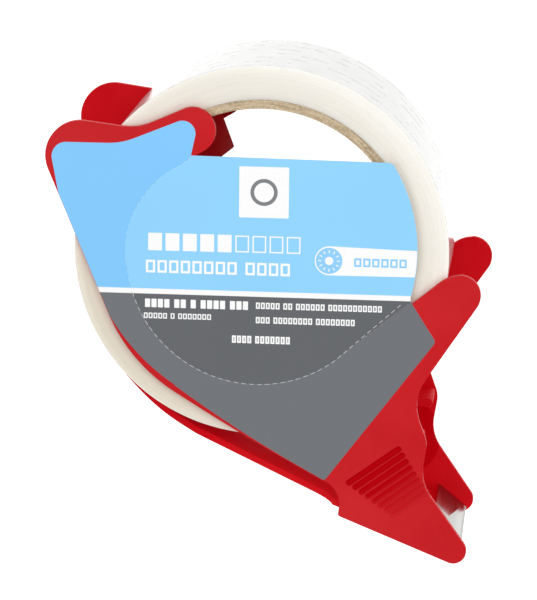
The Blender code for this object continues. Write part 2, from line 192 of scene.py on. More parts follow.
# Lights: (name, place in metres, width in metres, power in watts).
LIGHTS = [
    ("key_softbox", (0.25, 0.55, 1.15), 1.0, 5.4),
    ("fill_softbox", (-0.7, 0.1, 1.1), 1.0, 4.2),
    ("front_softbox", (0.85, 0.0, 0.9), 0.9, 3.8),
    ("low_softbox", (-0.3, -0.8, 1.0), 0.9, 2.3),
]
SKY_STRENGTH = 0.34
FLOOR_SIZE, FLOOR_DROP = 3.0, 0.1 * MM

# Camera: the place on the roll's near face that it looks at, and where it stands.
VIEW_TARGET = Vector((2.0, -13.0)) * MM
VIEW_DISTANCE = 0.9097
VIEW_AZIMUTH, VIEW_ELEVATION = 67.5, 76.5
LENS = 206.4


# ---------------------------------------------------------------- outlines and meshes

def polar(radius, degrees):
    angle = math.radians(degrees)
    return Vector((radius * math.cos(angle), radius * math.sin(angle)))


def in_mm(point):
    """A flat place given in millimetres."""
    return Vector(point) * MM


def arc_points(arc):
    centre = in_mm(arc[:2])
    radius = arc[2] * MM
    start, end = arc[3:]
    step = 2.0 * math.degrees(math.acos(1.0 - ARC_TOLERANCE / radius))
    count = max(3, math.ceil(abs(end - start) / step))
    return [centre + polar(radius, start + (end - start) * i / count) for i in range(count + 1)]


def outline_points(arcs):
    """The arcs joined end to end, without the points that two of them share."""
    points = []
    for arc in arcs:
        for point in arc_points(arc):
            if not points or (point - points[-1]).length > 2.0 * ARC_TOLERANCE:
                points.append(point)
    return points


def near_plate_points(points):
    """The near plate lies as its outline is drawn."""
    return points


def far_plate_points(points):
    """The far plate lies turned around its pivot."""
    centre = in_mm(FAR_PLATE_PIVOT)
    turn = Matrix.Rotation(math.radians(FAR_PLATE_TURN), 2)
    return [centre + turn @ (point - centre) for point in points]


def prism(points, bottom, top):
    """A closed prism over a flat outline around the roll's axis."""
    bm = bmesh.new()
    verts = [bm.verts.new((AXIS.x + p[0], AXIS.y + p[1], bottom)) for p in points]
    base = bm.faces.new(verts)
    lifted = bmesh.ops.extrude_face_region(bm, geom=[base])["geom"]
    raised = [v for v in lifted if isinstance(v, bmesh.types.BMVert)]
    bmesh.ops.translate(bm, verts=raised, vec=(0.0, 0.0, top - bottom))
    return bm


def turned(profile, segments):
    """A closed ring around the roll's axis from a closed (radius, height) profile."""
    bm = bmesh.new()
    rows = []
    for i in range(segments):
        turn = polar(1.0, 360.0 * i / segments)
        rows.append([bm.verts.new((AXIS.x + turn.x * r, AXIS.y + turn.y * r, z)) for r, z in profile])
    count = len(profile)
    for i in range(segments):
        near, far = rows[i], rows[(i + 1) % segments]
        for j in range(count):
            k = (j + 1) % count
            bm.faces.new((near[j], far[j], far[k], near[k]))
    return bm


def make_object(name, bm, smooth_angle=32.0):
    """Turn a bmesh into an object, smooth except along its sharp edges."""
    bmesh.ops.recalc_face_normals(bm, faces=bm.faces)
    mesh = bpy.data.meshes.new(name)
    bm.to_mesh(mesh)
    bm.free()
    mesh.shade_smooth()
    mesh.set_sharp_from_angle(angle=math.radians(smooth_angle))
    item = bpy.data.objects.new(name, mesh)
    bpy.context.collection.objects.link(item)
    return item


def place(item, body, slot, material, *nodes):
    """Hand a finished piece to the frame, in place of the CAD nodes it stands for."""
    item.data.materials.clear()
    item.data.materials.append(material)
    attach(item, body)
    if nodes:
        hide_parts(*nodes)
    return item


def bevel(item, width, segments=3, angle=40.0):
    modifier = item.modifiers.new("rounded_edges", "BEVEL")
    modifier.width = width
    modifier.segments = segments
    modifier.limit_method = "ANGLE"
    modifier.angle_limit = math.radians(angle)


def combine(item, helper, operation):
    """Add a Boolean with a helper, which settle applies and then deletes."""
    modifier = item.modifiers.new("combine", "BOOLEAN")
    modifier.operation = operation
    modifier.object = helper


def settle(item, smooth_angle=32.0):
    """Replace an object's mesh with what its modifiers make of it."""
    graph = bpy.context.evaluated_depsgraph_get()
    mesh = bpy.data.meshes.new_from_object(item.evaluated_get(graph))
    helpers = [m.object for m in item.modifiers if m.type == "BOOLEAN"]
    item.modifiers.clear()
    item.data = mesh
    mesh.shade_smooth()
    mesh.set_sharp_from_angle(angle=math.radians(smooth_angle))
    for helper in helpers:
        bpy.data.objects.remove(helper, do_unlink=True)
    return item


# ---------------------------------------------------------------- materials

class Shader:
    """A small helper that builds one node material."""

    def __init__(self, name, roughness=0.5, metallic=0.0):
        self.material = bpy.data.materials.new(name)
        self.material.use_nodes = True
        self.tree = self.material.node_tree
        self.bsdf = self.tree.nodes["Principled BSDF"]
        self.bsdf.inputs["Roughness"].default_value = roughness
        self.bsdf.inputs["Metallic"].default_value = metallic
        coords = self.tree.nodes.new("ShaderNodeTexCoord")
        shift = self.tree.nodes.new("ShaderNodeVectorMath")
        shift.operation = "SUBTRACT"
        shift.inputs[1].default_value = AXIS
        self.link(coords.outputs["Object"], shift.inputs[0])
        self.place = shift.outputs["Vector"]
        self.normal = coords.outputs["Normal"]

    def link(self, source, target):
        self.tree.links.new(source, target)

    def math(self, operation, first, second=None):
        node = self.tree.nodes.new("ShaderNodeMath")
        node.operation = operation
        for socket, value in zip(node.inputs, (first, second)):
            if value is None:
                continue
            if isinstance(value, (int, float)):
                socket.default_value = value
            else:
                self.link(value, socket)
        return node.outputs["Value"]

    def stretched(self, scale):
        node = self.tree.nodes.new("ShaderNodeVectorMath")
        node.operation = "MULTIPLY"
        node.inputs[1].default_value = scale
        self.link(self.place, node.inputs[0])
        return node.outputs["Vector"]

    def parts(self, vector):
        node = self.tree.nodes.new("ShaderNodeSeparateXYZ")
        self.link(vector, node.inputs[0])
        return node.outputs["X"], node.outputs["Y"], node.outputs["Z"]

    def joined(self, x, y, z):
        node = self.tree.nodes.new("ShaderNodeCombineXYZ")
        for socket, value in zip(node.inputs, (x, y, z)):
            if isinstance(value, (int, float)):
                socket.default_value = value
            else:
                self.link(value, socket)
        return node.outputs["Vector"]

    def radius_and_angle(self):
        x, y, _ = self.parts(self.place)
        square = self.math("ADD", self.math("MULTIPLY", x, x), self.math("MULTIPLY", y, y))
        return self.math("SQRT", square), self.math("ARCTAN2", y, x)

    def noise(self, vector, scale, detail=3.0, rough=0.5):
        node = self.tree.nodes.new("ShaderNodeTexNoise")
        node.inputs["Scale"].default_value = scale
        node.inputs["Detail"].default_value = detail
        node.inputs["Roughness"].default_value = rough
        self.link(vector, node.inputs["Vector"])
        return node.outputs["Fac"]

    def ramp(self, value, stops):
        node = self.tree.nodes.new("ShaderNodeValToRGB")
        ramp = node.color_ramp
        while len(ramp.elements) < len(stops):
            ramp.elements.new(0.5)
        for element, (position, colour) in zip(ramp.elements, stops):
            element.position = position
            element.color = (*colour, 1.0)
        self.link(value, node.inputs["Fac"])
        return node.outputs["Color"]

    def mix(self, factor, first, second):
        node = self.tree.nodes.new("ShaderNodeMix")
        node.data_type = "RGBA"
        self.link(factor, node.inputs["Factor"])
        for socket, value in ((node.inputs["A"], first), (node.inputs["B"], second)):
            if isinstance(value, tuple):
                socket.default_value = (*value, 1.0)
            else:
                self.link(value, socket)
        return node.outputs["Result"]

    def span(self, value, low, high):
        """Spread a 0 to 1 value over a range."""
        node = self.tree.nodes.new("ShaderNodeMapRange")
        node.inputs["To Min"].default_value = low
        node.inputs["To Max"].default_value = high
        self.link(value, node.inputs["Value"])
        return node.outputs["Result"]

    def colour(self, source):
        self.link(source, self.bsdf.inputs["Base Color"])

    def rough(self, source, low, high):
        self.link(self.span(source, low, high), self.bsdf.inputs["Roughness"])

    def bump(self, height, distance, strength=1.0):
        node = self.tree.nodes.new("ShaderNodeBump")
        node.inputs["Distance"].default_value = distance
        node.inputs["Strength"].default_value = strength
        self.link(height, node.inputs["Height"])
        self.link(node.outputs["Normal"], self.bsdf.inputs["Normal"])

    def set(self, socket, value):
        self.bsdf.inputs[socket].default_value = value


def red_plastic():
    """Moulded plastic with slow flow marks, satin outside and matt inside, with painted shade in the
    grip's grooves and inside the core, and a faint painted red glow.
    """
    shader = Shader("red_plastic", roughness=0.42)
    flow = shader.noise(shader.stretched((1.0, 1.0, 0.4)), 38.0, 4.0)
    skin = shader.ramp(flow, [(0.32, (0.37, 0.003, 0.006)), (0.68, (0.44, 0.009, 0.012))])
    groove = groove_shade(shader)
    # Painted shade: the deeper a place lies in the grip's grooves, the darker red it is coloured.
    grooved = shader.mix(groove, skin, (0.31, 0.0, 0.002))
    inside = between_plates(shader)
    # Painted shade: surfaces between the plates inside the core's bore are coloured a dark red.
    radius, _ = shader.radius_and_angle()
    in_core = shader.math("MULTIPLY", inside, shader.math("LESS_THAN", radius, BORE_R))
    shader.colour(shader.mix(in_core, grooved, (0.13, 0.0, 0.001)))
    shader.rough(shader.noise(shader.place, 260.0, 3.0), 0.34, 0.50)
    shader.bump(shader.noise(shader.place, 2600.0, 2.0), 0.02 * MM, 0.35)
    dull = shader.math("MAXIMUM", inside, groove)
    shader.link(shader.span(dull, 0.16, 0.02), shader.bsdf.inputs["Specular IOR Level"])
    # Painted light: the red plastic glows faintly everywhere, a little more between the plates and less
    # inside the core's bore.
    shader.set("Emission Color", (1.0, 0.0, 0.01, 1.0))
    glow = shader.math("MULTIPLY", shader.span(inside, 0.14, 0.19), shader.span(in_core, 1.0, 0.4))
    shader.link(glow, shader.bsdf.inputs["Emission Strength"])
    shader.set("Subsurface Weight", 0.06)
    shader.set("Subsurface Radius", (1.0, 0.05, 0.03))
    shader.set("Subsurface Scale", 0.6 * MM)
    return shader.material


def between_plates(shader):
    """1 on the surfaces between the two plates and 0 on their outer faces."""
    _, _, z = shader.parts(shader.place)
    low = shader.math("GREATER_THAN", z, FAR_OUTER + PLATE / 2.0 - AXIS.z)
    high = shader.math("LESS_THAN", z, NEAR_OUTER - PLATE / 2.0 - AXIS.z)
    return shader.math("MULTIPLY", low, high)


def groove_shade(shader):
    """The painted shade in the grip's grooves: how deep a place near the grip lies under a plate's outer
    face, from 0 to 1.
    """
    x, y, z = shader.parts(shader.place)
    above = shader.math("SUBTRACT", NEAR_OUTER - AXIS.z, z)
    below = shader.math("SUBTRACT", z, FAR_OUTER - AXIS.z)
    depth = shader.math("MINIMUM", above, below)
    across = shader.math("SUBTRACT", x, GRIP_CENTRE.x)
    up = shader.math("SUBTRACT", y, GRIP_CENTRE.y)
    square = shader.math("ADD", shader.math("MULTIPLY", across, across), shader.math("MULTIPLY", up, up))
    near_grip = shader.math("LESS_THAN", square, GRIP_REACH ** 2)
    shade = shader.math("MINIMUM", shader.math("DIVIDE", depth, FULL_SHADE_DEPTH), 1.0)
    shade = shader.math("POWER", shader.math("MAXIMUM", shade, 0.0), 1.8)
    return shader.math("MULTIPLY", near_grip, shade)


def blade_steel():
    """Bright steel, brushed along the blade."""
    shader = Shader("blade_steel", roughness=0.2, metallic=1.0)
    brushed = shader.noise(shader.stretched((900.0, 900.0, 12.0)), 1.0, 4.0, 0.6)
    shader.colour(shader.ramp(brushed, [(0.25, (0.34, 0.35, 0.335)), (0.75, (0.43, 0.44, 0.425))]))
    shader.rough(brushed, 0.10, 0.26)
    shader.bump(brushed, 0.005 * MM, 0.25)
    return shader.material


def core_board():
    """Wound paperboard: plies show as rings on the cut end and fibres everywhere."""
    shader = Shader("core_board", roughness=0.85)
    radius, angle = shader.radius_and_angle()
    _, _, height = shader.parts(shader.place)
    plies = shader.joined(shader.math("MULTIPLY", radius, 2600.0),
                          shader.math("MULTIPLY", angle, 6.0),
                          shader.math("MULTIPLY", height, 220.0))
    layers = shader.noise(plies, 1.0, 3.0, 0.6)
    fibres = shader.noise(shader.stretched((1.0, 1.0, 2.5)), 1300.0, 3.0, 0.65)
    base = shader.ramp(layers, [(0.28, (0.26, 0.18, 0.10)), (0.50, (0.48, 0.36, 0.22)),
                                (0.72, (0.66, 0.53, 0.36))])
    flecks = shader.ramp(fibres, [(0.46, (0.0, 0.0, 0.0)), (0.62, (0.5, 0.5, 0.5))])
    shader.colour(shader.mix(flecks, base, (0.72, 0.62, 0.46)))
    shader.rough(fibres, 0.75, 0.95)
    shader.bump(shader.math("ADD", layers, fibres), 0.06 * MM, 0.6)
    return shader.material


def clear_tape():
    """Film layers: faint cream rings on the cut faces, paler towards the rim and, as painted light,
    towards the upper right; glossy pale film outside.
    """
    shader = Shader("clear_tape", roughness=0.3)
    radius, angle = shader.radius_and_angle()
    _, _, height = shader.parts(shader.place)
    rings = shader.joined(shader.math("MULTIPLY", radius, 1500.0),
                          shader.math("MULTIPLY", angle, 0.8), 0.0)
    layers = shader.noise(rings, 1.0, 3.0, 0.55)
    cream = shader.ramp(layers, [(0.28, (0.69, 0.64, 0.54)), (0.74, (0.74, 0.695, 0.59))])
    pale = shader.ramp(layers, [(0.28, (0.86, 0.835, 0.775)), (0.74, (0.92, 0.90, 0.85))])
    # Painted light: the cut face turns from cream to pale towards the upper right; it also turns paler
    # towards the rim.
    face = shader.mix(paler_rim_and_painted_light(shader, radius), cream, pale)
    soft = shader.noise(shader.joined(shader.math("MULTIPLY", height, 60.0),
                                      shader.math("MULTIPLY", angle, 5.0), 0.0), 1.0, 2.0)
    film = shader.ramp(soft, [(0.30, (0.46, 0.46, 0.445)), (0.70, (0.52, 0.52, 0.505))])
    outer = shader.math("GREATER_THAN", radius, ROLL_R - 0.05 * MM)
    marked = shader.mix(print_streaks(shader, angle, height), film, (0.06, 0.065, 0.08))
    shader.colour(shader.mix(outer, face, marked))
    shader.link(shader.mix(outer, (0.45, 0.45, 0.45), (0.14, 0.14, 0.14)),
                shader.bsdf.inputs["Roughness"])
    shader.bump(layers, 0.02 * MM, 0.35)
    shader.set("Subsurface Weight", 0.5)
    shader.set("Subsurface Radius", (1.0, 0.95, 0.85))
    shader.set("Subsurface Scale", 3.0 * MM)
    shader.set("Coat Weight", 0.2)
    shader.set("Coat Roughness", 0.08)
    return shader.material


def paler_rim_and_painted_light(shader, radius):
    """From 0 to 1 towards the roll's rim, and towards the upper right, where painted light makes the cut
    face paler.
    """
    x, y, _ = shader.parts(shader.place)
    lean = polar(0.5 / ROLL_R, 45.0)
    side = shader.math("ADD", shader.math("MULTIPLY", x, lean.x), shader.math("MULTIPLY", y, lean.y))
    rim = shader.math("DIVIDE", shader.math("SUBTRACT", radius, CORE_R), 2.0 * (ROLL_R - CORE_R))
    return shader.math("MAXIMUM", shader.math("ADD", side, shader.math("ADD", rim, 0.1)), 0.0)


def print_streaks(shader, angle, height):
    """Faint broken lines round the roll, where the buried turns' ink shows through."""
    lines = shader.math("SINE", shader.math("MULTIPLY", height, 2.0 * math.pi / STREAK_PITCH))
    narrow = shader.math("GREATER_THAN", lines, 0.82)
    where = shader.joined(shader.math("MULTIPLY", angle, 9.0),
                          shader.math("MULTIPLY", height, 130.0), 0.0)
    broken = shader.math("GREATER_THAN", shader.noise(where, 1.0, 3.0, 0.7), 0.52)
    faint = shader.noise(shader.joined(shader.math("MULTIPLY", angle, 60.0), height, 0.0), 1.0, 1.0)
    return shader.math("MULTIPLY", shader.math("MULTIPLY", narrow, broken), faint)


def label_film(name, blue, grey, white):
    """The printed film: blue above a white stripe, grey below, with a fine print grain."""
    shader = Shader(name, roughness=0.38)
    x, y, _ = shader.parts(shader.place)
    turn = math.radians(LABEL_TURN)
    along = shader.math("ADD", shader.math("MULTIPLY", y, math.cos(turn)),
                        shader.math("MULTIPLY", x, -math.sin(turn)))
    above = shader.math("GREATER_THAN", along, STRIPE_TOP * MM)
    below = shader.math("LESS_THAN", along, STRIPE_BOTTOM * MM)
    grain = shader.noise(shader.place, 5200.0, 1.0)
    cloud = shader.noise(shader.place, 22.0, 2.0)
    blues = shader.ramp(cloud, [(0.35, blue), (0.75, tuple(c * 1.05 for c in blue))])
    greys = shader.ramp(grain, [(0.25, grey), (0.8, tuple(c * 1.12 for c in grey))])
    upper = shader.mix(above, white, blues)
    printed = shader.mix(below, upper, greys)
    _, _, facing = shader.parts(shader.normal)
    shader.colour(shader.mix(shader.math("GREATER_THAN", facing, 0.5), white, printed))
    shader.rough(cloud, 0.32, 0.44)
    shader.bump(shader.noise(shader.place, 700.0, 3.0), 0.01 * MM, 0.25)
    shader.set("Coat Weight", 0.15)
    shader.set("Coat Roughness", 0.2)
    return shader.material


def ink(name, colour):
    """Printed ink with a fine grain."""
    shader = Shader(name, roughness=0.4)
    grain = shader.noise(shader.place, 4200.0, 2.0)
    darker = tuple(c * 0.94 for c in colour)
    shader.colour(shader.ramp(grain, [(0.3, darker), (0.7, colour)]))
    shader.rough(grain, 0.34, 0.46)
    shader.bump(grain, 0.003 * MM, 0.2)
    return shader.material


# ---------------------------------------------------------------- red body

def standing(inner_z, depth, inward):
    """Lower and upper end of what stands on an inner face and is rooted in the plate."""
    return sorted((inner_z - inward * PLATE / 2.0, inner_z + inward * depth))


def hub_wall(inner_z, inward):
    """The curved flange that the roll's core turns on."""
    outer = BORE_R - HUB_CLEARANCE
    steps = 60
    angles = [HUB_START + HUB_SWEEP * i / steps for i in range(steps + 1)]
    points = [polar(outer, a) for a in angles]
    points += [polar(outer - HUB_THICKNESS, a) for a in reversed(angles)]
    item = make_object("hub_wall", prism(points, *standing(inner_z, HUB_DEPTH, inward)))
    bevel(item, HUB_ROUND)
    return settle(item)


def guide_tab(turn, inner_z, inward):
    """The upright tab at the plate's guide bump."""
    depth = FAR_GUIDE_DEPTH if inward > 0 else NEAR_GUIDE_DEPTH
    points = turn(outline_points(GUIDE_OUTLINE))
    item = make_object("guide_tab", prism(points, *standing(inner_z, depth, inward)))
    bevel(item, GUIDE_ROUND)
    return settle(item)


def core_finger():
    """The flat finger that reaches into the core under the near plate's hook, leaning a little."""
    outward = polar(1.0, FINGER_END_ANGLE)
    across = Vector((-outward.y, outward.x)) * FINGER_THICKNESS / 2.0
    outer, inner = outward * (BORE_R - HUB_CLEARANCE), outward * FINGER_INNER_R
    points = [outer - across, outer + across, inner + across, inner - across]
    bottom, top = standing(NEAR_INNER, FINGER_DEPTH, -1)
    bm = prism(points, bottom, top)
    lean = Matrix.Rotation(math.radians(FINGER_ROOT_ANGLE - FINGER_END_ANGLE), 3, "Z")
    axis = Vector((AXIS.x, AXIS.y, 0.0))
    for vert in bm.verts:
        if vert.co.z > (bottom + top) / 2.0:
            vert.co = axis + lean @ (vert.co - axis)
    item = make_object("core_finger", bm)
    bevel(item, FINGER_ROUND, 4)
    return settle(item)


def groove_stations(left, right, along):
    """Places along a groove with the share of its full width, pointed at both ends."""
    end_steps = 6
    stations = []
    for j in range(-end_steps, end_steps + 1):
        lean = j / end_steps * math.pi / 2.0
        middle = left if j <= 0 else right
        size = 0.0 if abs(j) == end_steps else math.cos(lean)
        stations.append((middle + along * math.sin(lean) * GROOVE_HALF_WIDTH, size))
        if j == 0:
            stations.append((right, 1.0))
    return stations


def groove_loop(bm, spot, across, depth, outer_z):
    """One elliptical section of a groove's cutter, or a single point at its very end."""
    if depth == 0.0:
        return [bm.verts.new((AXIS.x + spot.x, AXIS.y + spot.y, outer_z))]
    ring_steps = 16
    loop = []
    for k in range(ring_steps):
        angle = 2.0 * math.pi * k / ring_steps
        side = across * math.cos(angle)
        height = outer_z + math.sin(angle) * depth
        loop.append(bm.verts.new((AXIS.x + spot.x + side.x, AXIS.y + spot.y + side.y, height)))
    return loop


def bridge(bm, near, far):
    """Join two loops with quads, or a loop and a point with triangles."""
    count = max(len(near), len(far))
    for k in range(count):
        m = (k + 1) % count
        if len(near) == 1:
            bm.faces.new((near[0], far[k], far[m]))
        elif len(far) == 1:
            bm.faces.new((near[k], far[0], near[m]))
        else:
            bm.faces.new((near[k], far[k], far[m], near[m]))


def groove_cutters(turn, outer_z):
    """Round-ended grooves that fade towards the nose, between two slanting lines."""
    bm = bmesh.new()
    for i in range(GROOVE_COUNT):
        share = i / (GROOVE_COUNT - 1)
        left = Vector(GROOVE_LEFT[0]).lerp(Vector(GROOVE_LEFT[1]), share) * MM
        right = Vector(GROOVE_RIGHT[0]).lerp(Vector(GROOVE_RIGHT[1]), share) * MM
        left, right = turn([left, right])
        depth = GROOVE_DEEPEST - GROOVE_FADE * share
        along = (right - left).normalized()
        across = Vector((-along.y, along.x)) * GROOVE_HALF_WIDTH
        loops = [groove_loop(bm, spot, across * size, depth * size, outer_z)
                 for spot, size in groove_stations(left, right, along)]
        for near, far in zip(loops, loops[1:]):
            bridge(bm, near, far)
    return make_object("groove_cutters", bm)


def side_plate(name, node, bottom, inward, turn, material):
    """One side plate: inward is +1 where the roll lies above it and -1 where it lies below."""
    plate = make_object(name, prism(turn(outline_points(PLATE_OUTLINE)), bottom, bottom + PLATE))
    bevel(plate, PLATE_ROUND, 4, 50.0)
    settle(plate)
    inner = bottom + PLATE if inward > 0 else bottom
    outer = bottom if inward > 0 else bottom + PLATE
    combine(plate, hub_wall(inner, inward), "UNION")
    combine(plate, guide_tab(turn, inner, inward), "UNION")
    if inward < 0:
        combine(plate, core_finger(), "UNION")
    combine(plate, groove_cutters(turn, outer), "DIFFERENCE")
    settle(plate)
    return place(plate, DISPENSER, "red_plastic", material, node)


def belly_line(offset, x):
    """The point at x on the belly wall's straight stretch."""
    normal = polar(1.0, BELLY_SLOPE)
    return Vector((x, (offset - normal.x * x) / normal.y))


def nose_line(offset, x):
    """The point at x on the floor of the nose, which runs on from the belly wall."""
    start = belly_line(offset, BELLY_END_X)
    normal = polar(1.0, NOSE_SLOPE)
    return Vector((x, start.y - (x - start.x) * normal.x / normal.y))


def belly_station(travel):
    """Outer point and outward direction at a distance along the wall from its tip."""
    turn = min(math.degrees(travel / BELLY_R), BELLY_SLOPE - TONGUE_TIP)
    normal = polar(1.0, TONGUE_TIP + turn)
    straight = travel - math.radians(turn) * BELLY_R
    return normal * BELLY_R + Vector((-normal.y, normal.x)) * straight, normal


def belly_half_width(travel):
    """A round end, then an even taper up to the full width."""
    if travel < TONGUE_ROUND:
        return TONGUE_HALF_WIDTH * math.sqrt(1.0 - (1.0 - travel / TONGUE_ROUND) ** 2)
    share = min(1.0, (travel - TONGUE_ROUND) / (TONGUE_TAPER - TONGUE_ROUND))
    eased = share * share * (3.0 - 2.0 * share) * 0.3 + share * 0.7
    return TONGUE_HALF_WIDTH + (BELLY_HALF_WIDTH - TONGUE_HALF_WIDTH) * eased


def belly_sections():
    """Stations along the wall and the nose's floor: (outer point, normal, half width)."""
    round_steps, taper_steps, widening_steps = 12, 30, 8
    travels = [TONGUE_ROUND * (1.0 - math.cos(math.pi / 2.0 * i / round_steps))
               for i in range(1, round_steps + 1)]
    taper = TONGUE_TAPER - TONGUE_ROUND
    travels += [TONGUE_ROUND + taper * i / taper_steps for i in range(1, taper_steps + 1)]
    sections = [(*belly_station(travel), belly_half_width(travel)) for travel in travels]
    full_half = (NEAR_INNER - FAR_INNER) / 2.0
    belly_normal, nose_normal = polar(1.0, BELLY_SLOPE), polar(1.0, NOSE_SLOPE)
    for i in range(widening_steps + 1):
        lean = math.pi / 2.0 * i / widening_steps
        half = BELLY_HALF_WIDTH + (full_half - BELLY_HALF_WIDTH) * (1.0 - math.cos(lean))
        x = BELLY_END_X - WIDENING * (1.0 - math.sin(lean))
        sections.append((belly_line(BELLY_R, x), belly_normal, half))
    for share in (0.2, 0.6, 1.0):
        x = BELLY_END_X + (BLADE_TIP.x - NOSE_FLOOR_SHORT - BELLY_END_X) * share
        sections.append((nose_line(BELLY_R, x), nose_normal, full_half))
    return sections


def belly_and_nose(material):
    """The wall under the roll, running on as the floor of the nose."""
    bm = bmesh.new()
    rows = []
    for outer, normal, half in belly_sections():
        inner = outer - normal * BELLY_WALL
        corners = [(outer, -half), (outer, half), (inner, half), (inner, -half)]
        rows.append([bm.verts.new((AXIS.x + p.x, AXIS.y + p.y, MIDDLE + z)) for p, z in corners])
    for near, far in zip(rows, rows[1:]):
        for j in range(4):
            k = (j + 1) % 4
            bm.faces.new((near[j], far[j], far[k], near[k]))
    bm.faces.new(rows[0])
    bm.faces.new(list(reversed(rows[-1])))
    wall = make_object("belly_and_nose", bm)
    bevel(wall, PLATE_ROUND, 4, 50.0)
    settle(wall)
    combine(wall, blade_seat(), "UNION")
    settle(wall)
    return place(wall, DISPENSER, "red_plastic", material, "belly_wall", "nose_bridge")


def blade_axes():
    """Directions along the blade towards its teeth and out of its upper face."""
    along = (BLADE_TIP - BLADE_BACK).normalized()
    return along, Vector((-along.y, along.x))


def blade_seat():
    """The block that rises from the floor of the nose and carries the blade."""
    along, up = blade_axes()
    drop = up * (BLADE_THICKNESS + SEAT_GAP)
    back = BLADE_BACK - drop
    front = BLADE_TIP - along * SEAT_SHORT - drop
    points = [
        nose_line(BELLY_R - SEAT_SINK, back.x - SEAT_BACK),
        nose_line(BELLY_R - SEAT_SINK, front.x - SEAT_FRONT),
        front,
        back,
    ]
    item = make_object("blade_seat", prism(points, FAR_INNER, NEAR_INNER))
    bevel(item, SEAT_ROUND, 3, 30.0)
    return settle(item)


def toothed_outline(length):
    """The blade's flat outline: (reach towards the teeth, height), teeth last."""
    low = MIDDLE - TOOTH_PITCH * TOOTH_COUNT / 2.0
    high = low + TOOTH_PITCH * TOOTH_COUNT
    flat = [(0.0, low)]
    for i in range(TOOTH_COUNT):
        flat.append((length - TOOTH_DEPTH, low + TOOTH_PITCH * i))
        flat.append((length, low + TOOTH_PITCH * (i + 0.5)))
    return flat + [(length - TOOTH_DEPTH, high), (0.0, high)]


def cutter_blade(material):
    """A bright strip whose front edge is a row of pointed teeth."""
    along, up = blade_axes()
    bm = bmesh.new()
    verts = []
    for reach, height in toothed_outline((BLADE_TIP - BLADE_BACK).length):
        spot = BLADE_BACK + along * reach
        verts.append(bm.verts.new((AXIS.x + spot.x, AXIS.y + spot.y, height)))
    face = bm.faces.new(verts)
    lifted = bmesh.ops.extrude_face_region(bm, geom=[face])["geom"]
    moved = [v for v in lifted if isinstance(v, bmesh.types.BMVert)]
    shift = -up * BLADE_THICKNESS
    bmesh.ops.translate(bm, verts=moved, vec=(shift.x, shift.y, 0.0))
    blade = make_object("serrated_blade", bm)
    bevel(blade, BLADE_ROUND, 2, 30.0)
    settle(blade)
    return place(blade, DISPENSER, "blade_steel", material, "cutter_blade")


# ---------------------------------------------------------------- roll

def rounded_profile(inner, outer, bottom, top, radius, steps=4):
    """A closed (radius, height) rectangle with small round corners."""
    centres = [(outer - radius, bottom + radius, -90.0), (outer - radius, top - radius, 0.0),
               (inner + radius, top - radius, 90.0), (inner + radius, bottom + radius, 180.0)]
    profile = []
    for r, z, start in centres:
        for i in range(steps + 1):
            turn = polar(radius, start + 90.0 * i / steps)
            profile.append((r + turn.x, z + turn.y))
    return profile


def paper_core(material):
    """The cardboard tube with slightly rounded rims."""
    profile = rounded_profile(BORE_R, CORE_R, ROLL_BOTTOM, ROLL_TOP, CORE_ROUND)
    core = make_object("wound_core", turned(profile, CORE_SEGMENTS))
    return place(core, ROLL, "core_board", material, "paper_core")


def tape_winding(material):
    """The wound film. Its cut faces keep the small steps that winding leaves."""
    inner = CORE_R + WINDING_GAP
    width = (ROLL_R - inner) / WINDING_STEPS
    near_face, far_face = [], []
    for i in range(WINDING_STEPS + 1):
        radius = inner + width * i
        sink = STEP_SINK * (1.0 + math.sin(i * 2.4) * math.cos(i * 0.7))
        if i in (0, WINDING_STEPS):
            sink = EDGE_SINK
        near_face.append((radius, ROLL_TOP - sink))
        far_face.append((radius, ROLL_BOTTOM + sink))
    profile = far_face + list(reversed(near_face))
    winding = make_object("wound_tape", turned(profile, WINDING_SEGMENTS), 60.0)
    return place(winding, ROLL, "clear_tape", material, "tape_winding")


# ---------------------------------------------------------------- label

def label_sheet(name, node, points, material):
    """A piece of the label film, just clear of the near plate."""
    bottom = NEAR_OUTER + LABEL_LIFT
    sheet = make_object(name, prism(points, bottom, bottom + LABEL_FILM))
    return place(sheet, DISPENSER, "label_print", material, node)


def tear_panel(material):
    """The label inside its perforation."""
    points = outline_points(PERFORATION)
    points.append(in_mm(PANEL_TOP_BACK))
    points.append(in_mm(PANEL_TOP_FRONT))
    points += reversed(outline_points(PANEL_FRONT_EDGE))
    points.append(in_mm(PANEL_FRONT_LOW))
    return label_sheet("tear_panel_film", "label_tear_panel", points, material)


def label_border(material):
    """The label outside its perforation, with a hair's gap to the panel."""
    inner_edge = [(x, y, r + 0.03, start, end) for x, y, r, start, end in PERFORATION]
    points = outline_points(LABEL_OUTER_EDGE)
    points.append(in_mm(PANEL_FRONT_LOW) + Vector((0.02, -0.03)) * MM)
    points += outline_points(inner_edge)
    points.append(in_mm(PANEL_TOP_BACK) + Vector((-0.03, 0.02)) * MM)
    return label_sheet("label_border_film", "label_border", points, material)


def label_point(x, y):
    """A place on the label's own axes, which are turned a little from the plate's."""
    turn = math.radians(LABEL_TURN)
    return Vector((x * math.cos(turn) - y * math.sin(turn),
                   x * math.sin(turn) + y * math.cos(turn))) * MM


def rounded_box(left, bottom, right, top, radius):
    """A box in label millimetres with round corners."""
    radius = min(radius, (right - left) / 2.0, (top - bottom) / 2.0)
    spots = [(right - radius, top - radius, 0.0), (left + radius, top - radius, 90.0),
             (left + radius, bottom + radius, 180.0), (right - radius, bottom + radius, 270.0)]
    points = []
    for x, y, start in spots:
        for i in range(7):
            turn = polar(radius, start + 15.0 * i)
            points.append(label_point(x + turn.x, y + turn.y))
    return points


